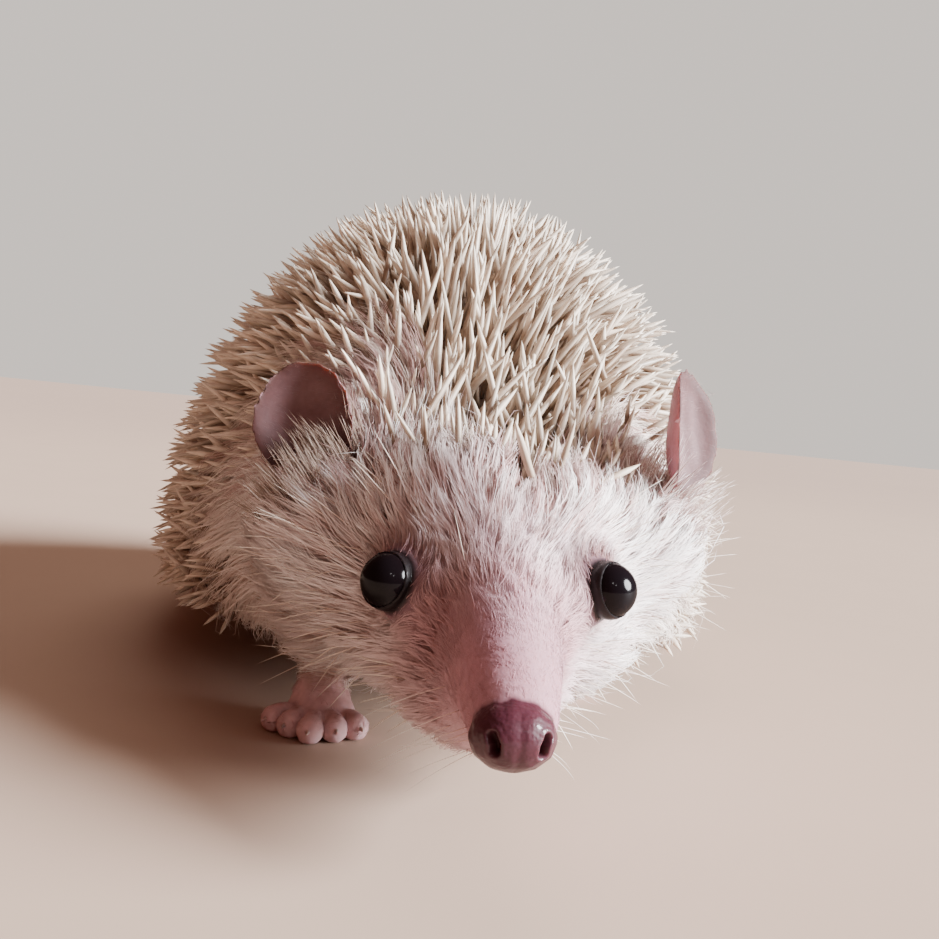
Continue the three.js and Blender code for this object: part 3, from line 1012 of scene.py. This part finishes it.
# Copies of one shape, each swept along its own row of points.
def growCopies(name, shape, roots, path, width, tint, material, bands, up=None):
    base = readVectors(shape["mesh"].vertices, "co")
    pattern = np.array([face.vertices[:] for face in shape["mesh"].polygons])
    ring = np.abs(base[:, 2:3] - shape["heights"][None]).argmin(axis=1)
    count, corners = len(path), len(base)
    path[..., 2] = np.maximum(path[..., 2], 0.25 * mm)  # clear of the floor
    tangent = unit(np.gradient(path, axis=1))
    side = unit(np.cross(tangent, roots["normal"][:, None]))
    over = np.cross(tangent, side)
    outward = side[:, ring] * base[None, :, 0:1] + over[:, ring] * base[None, :, 1:2]
    points = path[:, ring] + width[:, None, None] / 2 * outward
    faces = (pattern[None] + (np.arange(count) * corners)[:, None, None]).reshape(-1, 3)
    mesh = bpy.data.meshes.new(name)
    mesh.vertices.add(count * corners)
    mesh.vertices.foreach_set("co", points.astype(np.float32).ravel())
    mesh.loops.add(len(faces) * 3)
    mesh.loops.foreach_set("vertex_index", faces.astype(np.int32).ravel())
    mesh.polygons.add(len(faces))
    mesh.polygons.foreach_set("loop_start", np.arange(0, len(faces) * 3, 3, dtype=np.int32))
    mesh.update(calc_edges=True)
    t = np.broadcast_to(base[None, :, 2:3], (count, corners, 1))
    colours = np.concatenate([bands(tint[:, None], t), np.ones((count, corners, 1))], axis=2)
    keep(mesh, "tint", "FLOAT_COLOR", colours.reshape(-1, 4))
    # each copy's patch of the bake map lies at its root, root end to tip end
    patch = np.stack([base[:, 0] * 0.0006, (base[:, 2] - 0.5) * 0.0028], axis=1)
    shift = np.column_stack([roots.get("shift", np.zeros(count)), np.zeros(count)])
    uv = clamp((roots["uv"] + shift)[:, None] + patch[None]).reshape(-1, 2)
    layer = mesh.uv_layers.new(name="OFBake")
    layer.data.foreach_set("uv", uv[faces.ravel()].astype(np.float32).ravel())
    addPiece(mesh, name, material)
    if up is not None:
        soft = unit(unit(outward) * (1 - softness) + up[:, ring] * softness)
        mesh.normals_split_custom_set_from_vertices(soft.reshape(-1, 3).tolist())
    print(name, count, "copies,", len(faces), "triangles")


# Quills: even, stiff spines that lean back and cross each other at many angles.
quills = {
    "perSquareMm": 2.8,  # tried places, of which those closer than the spacing fall out
    "spacing": 1.56,
    "width": (0.8, 1.1),
    "tilt": 41,  # degrees from upright
    "browTilt": 34,
    "tiltSpread": 14,
    "swing": 34,  # degrees to either side, at random
    "parted": 16,  # degrees to either side, in slow waves
    "reach": (0.82, 1.22),  # as a share of the way to the solids' outline
    "proud": (0.8, 2.8),  # the most that a quill stands past it
    "longest": 17,
    "browLength": 8.5,
    "curl": (0.01, 0.07),
    # The roots' brown is partly the quills' own tan, partly painted shade deep between the quills.
    "root": (0.36, 0.26, 0.185),
    "band": (0.20, 0.12, 0.075),
    "tip": (0.69, 0.58, 0.47),
    "shade": 0.15,
}


def quillBands(colours, t):
    count = len(colours)
    low = 0.2 + 0.1 * chance.random((count, 1, 1))
    high = 0.44 + 0.2 * chance.random((count, 1, 1))
    strength = np.clip(chance.normal(0.8, 0.3, (count, 1, 1)), 0.05, 1)
    band = smoothStep(low - 0.1, low + 0.08, t) * fade(high - 0.08, high + 0.14, t) * strength
    root, tip, dark = (np.asarray(quills[part]) for part in ("root", "tip", "band"))
    # Darker towards the root: partly the quill's own tan, partly painted shade deep among the quills.
    body = root + (tip - root) * smoothStep(0.25, 0.7, t)
    shade = 1 + quills["shade"] * chance.normal(size=(count, 1, 1))
    return np.clip((body * (1 - band) + dark * band) * shade * colours, 0, 0.95)


def makeQuills(surface):
    free = 1 - inZones(surface.zone, "ear", "leg", "tail")
    quilled = spineShare(surface.outer) * free * (1 - partShare(surface.points))
    quilled = quilled * smoothStep(10, 14, earGap(surface.points))
    roots = thinned(surface.spread(quills["perSquareMm"], quilled ** 2), quills["spacing"])
    points, normals, count = roots["point"], roots["normal"], len(roots["point"])
    swing = quills["parted"] * waves(points, 4.5) + chance.normal(0, quills["swing"], count)
    flow = turned(coatFlow(points, normals, roots["zone"]), normals, swing)
    brow = fade(1, 9, behindBrow(roots["outer"]))
    tilt = quills["tilt"] + (quills["browTilt"] - quills["tilt"]) * brow
    tilt = np.radians(np.clip(chance.normal(tilt, quills["tiltSpread"], count), 8, 72))[:, None]
    start = normals * np.cos(tilt) + flow * np.sin(tilt)
    room = roomAlong(outline, points, start, 22 * mm)  # up to the solids' outline
    length = np.clip(room * chance.uniform(*quills["reach"], count), 5 * mm, quills["longest"] * mm)
    length = np.minimum(length, room + chance.uniform(*quills["proud"], count) * mm)
    browLength = quills["browLength"] * mm * chance.uniform(0.75, 1.2, count)
    high = brow * smoothStep(30 * mm, 34 * mm, points[:, 2])
    length = length + np.maximum(browLength - length, 0) * high
    width = chance.uniform(*quills["width"], count)
    width = width * (0.55 + 0.45 * smoothStep(4 * mm, 11 * mm, length)) * mm
    t = quillShape["heights"][None, :, None]
    bend = chance.uniform(*quills["curl"], (count, 1, 1)) * t ** 2
    path = points[:, None] + length[:, None, None] * (start[:, None] * t - flow[:, None] * bend)
    names = ("crown", "back", "rump")
    zones = np.stack([roots["zone"][name] for name in names], axis=1).argmax(axis=1)
    left = points[:, 0] > -1 * mm
    material = newMaterial("quill_keratin")[0]
    for i, zone in enumerate(names):
        for side, half in (("right", ~left), ("left", left)):
            part = (zones == i) & half
            growCopies(
                f"quills_{zone}_{side}", quillShape, pick(roots, part), path[part], width[part],
                np.ones((part.sum(), 3)), material, quillBands,
            )


surface = Skin(skinMesh)
makeQuills(surface)


# Fur: tufts that follow the skin, whose hairs draw together towards their tips.
# Widths and lengths are in millimetres, the lift in degrees.
plainTuft = {
    "spread": 0.5, "gather": 0.5, "strays": 0.0, "proud": 1.0, "least": 0.0,
    "slot": "body_fur", "on": "body",
}
fur = {
    "face": {
        "perSquareMm": 1.25, "hairs": 8, "shape": hairShape, "width": 0.12, "lift": 32,
        "gather": 0.72, "strays": 0.012, "shade": 0.06, "slot": "face_fur",
    },
    "velvet": {
        "perSquareMm": 4.1, "hairs": 8, "shape": downShape, "width": 0.075, "lift": 12,
        "spread": 0.42, "gather": 0.3, "shade": 0.03, "slot": "face_fur",
    },
    "brow": {
        "perSquareMm": 0.76, "hairs": 8, "shape": streamShape, "length": (8, 13), "width": 0.15, "lift": 28,
        "spread": 0.45, "gather": 0.78, "strays": 0.02, "shade": 0.08, "proud": 1.35, "least": 1.8,
        "slot": "face_fur",
    },
    "flank": {
        "perSquareMm": 0.3, "hairs": 7, "shape": hairShape, "length": (8, 12), "width": 0.18, "lift": 30,
        "spread": 0.75, "gather": 0.7, "strays": 0.02, "shade": 0.07,
    },
    "limb": {
        "perSquareMm": 2.0, "hairs": 5, "shape": hairShape, "length": (1.6, 3.0), "width": 0.13, "lift": 20,
        "shade": 0.05,
    },
    "ear": {
        "perSquareMm": 1.0, "hairs": 4, "shape": downShape, "length": (0.7, 1.5), "width": 0.05, "lift": 18,
        "gather": 0.2, "shade": 0.05, "slot": "ear_skin", "on": "ear",
    },
}


def hairBands(colours, t):
    # Darker and pinker towards the root: partly the pink skin showing through, partly painted shade deep in
    # the coat.
    root = colours * np.array([0.72, 0.49, 0.46])
    return root + (colours - root) * smoothStep(0.05, 0.5, t)


# The middle line of each tuft, laid step by step over the skin, with the coat's thickness on the way.
def layTufts(surface, roots, length, sway, steps, part):
    place, normal, coat = roots["point"], roots["normal"], roots["coat"]
    rows = [(place, normal, coat)]
    for _ in range(steps):
        flow = turned(coatFlow(place, normal, roots["zone"]), normal, sway)
        place, triangles = surface.below(place + flow * (length / steps)[:, None], part)
        normal, coat = surface.triangleNormals[triangles], surface.triangleCoat[triangles]
        rows.append((place, normal, coat))
    return [np.stack(values, axis=1) for values in zip(*rows)]


def sampled(rows, tufts, at):
    low = np.minimum(at.astype(int), rows.shape[1] - 2)
    share = (at - low).reshape(at.shape + (1,) * (rows.ndim - 2))
    first, second = rows[tufts[:, None], low], rows[tufts[:, None], low + 1]
    return first + (second - first) * share


def makeFur(name, surface, roots, kind, length, tint):
    make = {**plainTuft, **fur[kind]}
    count, hairs = len(roots["point"]), make["hairs"]
    if not count:
        return
    steps = 5  # along each tuft
    sway = 13 * waves(roots["point"], 3.2) + chance.normal(0, 7, count)
    places, normals, coats = layTufts(surface, roots, length, sway, steps, make["on"])
    tufts = np.repeat(np.arange(count), hairs)
    total = len(tufts)
    t = make["shape"]["heights"][None]
    stray = chance.random(total) < make["strays"]
    share = chance.uniform(0.6, 1.0, (total, 1))
    at = t * share * steps
    middle = sampled(places, tufts, at)
    up = unit(sampled(normals, tufts, at))
    coat = np.maximum(sampled(coats, tufts, at), make["least"] * mm)
    ahead = unit(np.gradient(middle, axis=1))
    across = unit(np.cross(up, ahead))
    tuftLength = length[tufts]
    lift = np.tan(np.radians(make["lift"] + 8 * stray))[:, None] * tuftLength[:, None] * share
    level = np.clip(chance.normal(0.62, 0.2, count)[tufts] + chance.normal(0, 0.12, total), 0.1, 1)[:, None]
    rise = np.minimum(lift, coat * make["proud"] * (level + 0.9 * stray[:, None])) * (1 - (1 - t) ** 1.8)
    wander = chance.normal(0, make["spread"] * mm, (total, 2, 1)) * (1 - make["gather"] * t ** 0.8)[:, None]
    wave = chance.normal(0, 0.035, (total, 1)) * tuftLength[:, None] * t ** 2
    path = middle + up * (rise - 0.1 * mm)[..., None]
    path = path + across * (wander[:, 0] + wave)[..., None] + ahead * (wander[:, 1] * (1 - t))[..., None]
    each = pick(roots, tufts)
    each["shift"] = (np.arange(total) % hairs / hairs - 0.5) * 0.0024
    width = make["width"] * mm * chance.uniform(0.75, 1.2, total)
    width = width * (0.5 + 0.5 * smoothStep(0.5, 6, tuftLength * share[:, 0] / mm)) * (1 - 0.4 * stray)
    shade = (1 + make["shade"] * chance.normal(size=count))[tufts] * (1 + 0.04 * chance.normal(size=total))
    colour = np.clip(tint[tufts] * shade[:, None], 0, 0.97)
    growCopies(name, make["shape"], each, path, width, colour, furMaterial, hairBands, up)


# One piece for each named part of the roots, so that none grows too large.
def makeParts(surface, roots, kind, length, parts, tint):
    for name, part in parts.items():
        makeFur(name, surface, pick(roots, part), kind, length[part], tint(roots["point"][part]))


def sidesAndEnds(name, points, middle):
    left, ahead = points[:, 0] > 0, points[:, 1] < middle
    return {
        f"{name}_front_left": left & ahead, f"{name}_front_right": ~left & ahead,
        f"{name}_left": left & ~ahead, f"{name}_right": ~left & ~ahead,
    }


# Most of the fur stops at the foot of the ears.
def besideEars(surface):
    return fade(0.25, 0.5, surface.zone["ear"])


def faceLength(points, outer, normals):
    away = distance(points, noseTip)
    length = 0.7 + 8.6 * smoothStep(0.010, 0.040, away)
    ridge = np.abs(points[:, 0] - noseTip[0] - 0.02 * (points[:, 1] - noseTip[1])) / mm
    length = length + 2.0 * smoothStep(4, 9, ridge) * smoothStep(0.008, 0.018, away)
    length = length * (1 - 0.62 * eyeNearness(points, 3.5, 10))
    length = length * (1 - 0.45 * smoothStep(0.1, 0.8, -normals[:, 2])) * (1 - 0.7 * belowParting(points))
    return length * (1 + 0.15 * smoothStep(-9, 0, behindBrow(outer)))


# Pale tufts with pinker ones between them, most of all over the forehead.
def streaked(points, share):
    colour = coatColours(points)
    high = smoothStep(24 * mm, 30 * mm, points[:, 2])
    pinker = (chance.random(len(points)) < share) * (0.25 + 0.75 * high)
    return blend(colour, markings["streak"], pinker * 0.75)


def makeFaceFur(surface):
    points = surface.points
    furred = inZones(surface.zone, "head", "crown", "ear")
    furred = furred * besideEars(surface) * (1 - partShare(points))
    furred = furred * (1 - eyeNearness(points, 3.3, 3.9)) * fade(0.5, 6, behindBrow(surface.outer))
    furred = furred * (1 - clamp(3 * surface.zone["nose"]))
    length = faceLength(points, surface.outer, surface.normals)
    shortness = fade(1.5, 3.5, length)
    roots = surface.spread(fur["velvet"]["perSquareMm"], furred * shortness)
    reach = faceLength(roots["point"], roots["outer"], roots["normal"]) * mm
    makeFur("face_velvet", surface, roots, "velvet", reach, coatColours(roots["point"]))
    weight = furred * (1 - shortness) * np.clip(6.5 / length, 0.8, 1.8)
    roots = surface.spread(fur["face"]["perSquareMm"], weight)
    reach = faceLength(roots["point"], roots["outer"], roots["normal"]) * mm
    high = roots["point"][:, 2] > 24 * mm
    parts = {}
    for name, part in sidesAndEnds("face_fur", roots["point"], -0.055).items():
        parts.update({f"{name}_low": part & ~high, f"{name}_high": part & high})
    makeParts(surface, roots, "face", reach, parts, lambda places: streaked(places, 0.3))


# Long streaks that sweep up from the brow and in front of the ears, over the first quills.
def makeBrowFur(surface):
    before = behindBrow(surface.outer)
    brow = smoothStep(-9, -4, before) * fade(0, 3, before)
    brow = brow * smoothStep(24 * mm, 29 * mm, surface.outer[:, 2])
    beside = fade(11, 16, earGap(surface.points)) * fade(9, 13, before)
    free = besideEars(surface) * (1 - partShare(surface.points))
    free = free * (1 - belowParting(surface.points))
    roots = surface.spread(fur["brow"]["perSquareMm"], np.clip(brow + 1.6 * beside, 0, 1.6) * free)
    length = chance.uniform(*fur["brow"]["length"], len(roots["point"])) * mm
    left = roots["point"][:, 0] > 0
    parts = {"brow_fur_left": left, "brow_fur_right": ~left}
    makeParts(surface, roots, "brow", length, parts, lambda places: streaked(places, 0.5))


# Bristles are single, nearly straight hairs with a slight bend.
bristles = {
    "whiskers": {
        "perSquareMm": 40, "spacing": 2.1, "count": 14, "shape": whiskerShape, "width": 0.07,
        "length": (7, 12), "curl": (0.3, 0.9), "colour": (0.80, 0.74, 0.68),
    },
    "ear_fringe": {
        "perSquareMm": 5, "shape": streamShape, "width": 0.11, "length": (3.5, 8), "curl": (0.05, 0.35),
    },
    "cheek_bristles": {
        "perSquareMm": 0.5, "spacing": 1.3, "shape": streamShape, "width": 0.13, "length": (6, 10.5),
        "curl": (0, 0.3), "colour": (0.84, 0.74, 0.64),
    },
}


def growBristles(name, roots, start, bend, length, curl, colour):
    make, count = bristles[name], len(length)
    t = make["shape"]["heights"][None, :, None]
    lean = start[:, None] * t + bend[:, None] * curl * t ** 2
    path = roots["point"][:, None] + length[:, None, None] * mm * lean
    tint, width = np.broadcast_to(colour, (count, 3)), np.full(count, make["width"] * mm)
    growCopies(name, make["shape"], roots, path, width, tint, furMaterial, hairBands)


def makeCheekBristles(surface):
    make = bristles["cheek_bristles"]
    away = distance(surface.points, noseTip) / mm
    cheeks = smoothStep(0.45, 0.8, np.abs(surface.normals[:, 0]))
    weight = surface.zone["head"] * cheeks * smoothStep(18, 26, away)
    weight = weight * fade(-6, -1, behindBrow(surface.outer)) * (1 - eyeNearness(surface.points, 6, 10))
    roots = thinned(surface.spread(make["perSquareMm"], clamp(weight)), make["spacing"])
    normals, count = roots["normal"], len(roots["point"])
    flow = turned(coatFlow(roots["point"], normals, roots["zone"]), normals, chance.normal(0, 16, count))
    start = unit(flow + normals * chance.uniform(0.6, 1.0, (count, 1)))
    bend = np.tile((0.0, 0.3, -0.5), (count, 1))
    curl = chance.uniform(*make["curl"], (count, 1, 1))
    length = chance.uniform(*make["length"], count)
    growBristles("cheek_bristles", roots, start, bend, length, curl, make["colour"])


# Loose hairs that stand up before each ear and cross its foot.
def makeEarFringe(surface):
    make = bristles["ear_fringe"]
    weight = np.zeros(len(surface.points))
    for ear in sides:
        middle = boxMiddle(f"ear_{ear}")
        offset = surface.points - (middle - np.array([0, 0, 6 * mm]))
        gap = np.linalg.norm(offset, axis=1)
        ahead = smoothStep(-1 * mm, 2 * mm, -offset[:, 1] - 0.5 * np.sign(middle[0]) * offset[:, 0])
        around = smoothStep(2 * mm, 4 * mm, gap) * fade(7 * mm, 9.5 * mm, gap)
        weight = np.maximum(weight, around * ahead)
    roots = surface.spread(make["perSquareMm"], weight * besideEars(surface))
    count = len(roots["point"])
    side = np.sign(roots["point"][:, 0])
    upward = np.column_stack([side * 0.5, np.full(count, 0.05), np.full(count, 0.75)])
    start = unit(upward + roots["normal"] * 0.5 + chance.normal(0, 0.13, (count, 3)))
    bend = np.column_stack([side * 0.3, np.full(count, 0.6), np.full(count, -0.1)])
    curl = chance.uniform(*make["curl"], (count, 1, 1))
    length = chance.uniform(*make["length"], count)
    # Painted shade: before the right ear (-X) the fringe is blended much further to tan and darkened.
    tint = blend(streaked(roots["point"], 0.5), markings["tan"], np.where(side < 0, 0.8, 0.15))
    tint = tint * np.where(side < 0, 0.58, 1)[:, None]  # the right ear's are darker
    growBristles("ear_fringe", roots, start, bend, length, curl, tint)


def makeFlankFur(surface):
    weight = inZones(surface.zone, "neck", "belly", "back", "rump")
    under = smoothStep(0.3, 0.8, -surface.normals[:, 2])
    weight = weight * (1 - 0.93 * spineShare(surface.outer)) * (1 - 0.5 * under)
    roots = surface.spread(fur["flank"]["perSquareMm"], weight)
    length = chance.uniform(*fur["flank"]["length"], len(roots["point"]))
    length = length * np.clip(roots["coat"] / (4 * mm), 0.4, 1) * mm
    makeParts(surface, roots, "flank", length, sidesAndEnds("flank_fur", roots["point"], 0.0), coatColours)


def makeLimbFur(surface):
    top = smoothStep(0.0, 0.6, surface.normals[:, 2])
    weight = clamp(surface.zone["leg"]) * smoothStep(3, 7, surface.points[:, 2] / mm)
    weight = weight + 0.35 * surface.zone["paw"] * top + 0.6 * surface.zone["tail"]
    roots = surface.spread(fur["limb"]["perSquareMm"], clamp(weight))
    height = roots["point"][:, 2] / mm
    length = chance.uniform(*fur["limb"]["length"], len(height))
    length = (0.8 + length * smoothStep(3.5, 9, height)) * mm
    # The leg fur is blended to tan: partly the fur's own tan, partly painted shade under the body.
    tint = blend(coatColours(roots["point"]), markings["tan"], np.full(len(length), 0.6))
    tint = blend(tint, markings["pawSkin"], fade(4, 9, height))
    makeFur("limb_fur", surface, roots, "limb", length, tint)


def makeEarDown(surface):
    roots = surface.spread(fur["ear"]["perSquareMm"], clamp(surface.zone["ear"]))
    count = len(roots["point"])
    length = chance.uniform(*fur["ear"]["length"], count) * mm
    # The down on the right ear (-X) is half as bright: painted shade.
    tint = plainColour("earDown", count) * np.where(roots["point"][:, 0] < 0, 0.5, 1)[:, None]
    makeFur("ear_down", surface, roots, "ear", length, tint)


# Long bristles along each side of the muzzle.
def makeWhiskers(surface):
    make = bristles["whiskers"]
    away = distance(surface.points, noseTip) / mm
    drop = (surface.points[:, 2] - noseTip[2]) / mm
    muzzleSides = np.abs(surface.normals[:, 0]) > 0.55
    weight = smoothStep(8, 10, away) * fade(14, 17, away) * muzzleSides * (np.abs(drop + 2.5) < 3.5)
    roots = thinned(surface.spread(make["perSquareMm"], weight), make["spacing"])
    count = min(make["count"], len(roots["point"]))
    roots = pick(roots, chance.permutation(len(roots["point"]))[:count])
    side = np.sign(roots["point"][:, 0] - noseTip[0])
    out = np.column_stack([side * 0.8, chance.uniform(0.1, 0.6, count), chance.uniform(-0.5, -0.05, count)])
    start = unit(out + roots["normal"] * 0.25)
    bend = unit(np.column_stack([side * -0.2, np.full(count, 1.0), chance.uniform(-0.9, -0.2, count)]))
    length = chance.uniform(*make["length"], count)
    curl = chance.uniform(*make["curl"], (count, 1, 1))
    growBristles("whiskers", roots, start, bend, length, curl, make["colour"])


furMaterial = newMaterial("soft_fur")[0]
growers = [makeWhiskers, makeFaceFur, makeBrowFur, makeEarFringe, makeCheekBristles]
for grower in [*growers, makeFlankFur, makeLimbFur, makeEarDown]:
    grower(surface)


# Studio
studio = {
    "key": {"from": (0.88, -0.25, 0.42), "power": 24.0, "spread": 32, "colour": (0.94, 0.965, 1.0)},
    "glint": {"from": (0.02, -0.52, 0.40), "power": 0.12, "size": 0.010, "colour": (1.0, 0.98, 0.96)},
    "spark": {"from": (0.14, -0.54, 0.33), "power": 0.09, "size": 0.009, "colour": (1.0, 0.98, 0.96)},
    "rim": {"from": (0.05, 0.35, 0.6), "power": 2.5, "size": 0.5, "colour": (1.0, 0.88, 0.76)},
}
surroundings = {
    "air": (1.0, 0.37, 0.25, 1), "airStrength": 0.2, "backdrop": (0.95, 0.86, 0.79, 1),
    "floor": (0.42, 0.30, 0.23, 1), "floorSize": 6.0, "aim": (0, -0.03, 0.03),
}


def addLight(name, make):
    data = bpy.data.lights.new(name, "SUN" if "spread" in make else "AREA")
    data.energy = make["power"]
    data.color = make["colour"]
    if "spread" in make:
        data.angle = math.radians(make["spread"])
    else:
        data.size = make["size"]
    place = Vector(make["from"])
    aim = (Vector(surroundings["aim"]) - place).to_track_quat("-Z", "Y")
    light = addObject(name, data)
    light.matrix_world = Matrix.Translation(place) @ aim.to_matrix().to_4x4()
    light.visible_glossy = name != "rim"


def makeStudio():
    bm = bmesh.new()
    bmesh.ops.create_grid(bm, x_segments=2, y_segments=2, size=surroundings["floorSize"])
    mesh = meshFrom(bm, "floor")
    mesh.materials.append(newMaterial("studio_floor", surroundings["floor"])[0])
    floor = addObject("floor", mesh)
    for name, make in studio.items():
        addLight(name, make)
    world = bpy.data.worlds.new("air")
    world.use_nodes = True
    bpy.context.scene.world = world
    tree = world.node_tree
    air, backdrop = surroundings["air"], surroundings["backdrop"]
    lit = addNode(tree, "ShaderNodeBackground", {"Color": air, "Strength": surroundings["airStrength"]})
    seen = addNode(tree, "ShaderNodeBackground", {"Color": backdrop, "Strength": 1.0})
    ray = addNode(tree, "ShaderNodeLightPath").outputs["Is Camera Ray"]
    both = addNode(tree, "ShaderNodeMixShader", {0: ray, 1: lit.outputs[0], 2: seen.outputs[0]})
    tree.links.new(both.outputs[0], tree.nodes["World Output"].inputs["Surface"])


makeStudio()
print("studio ready")
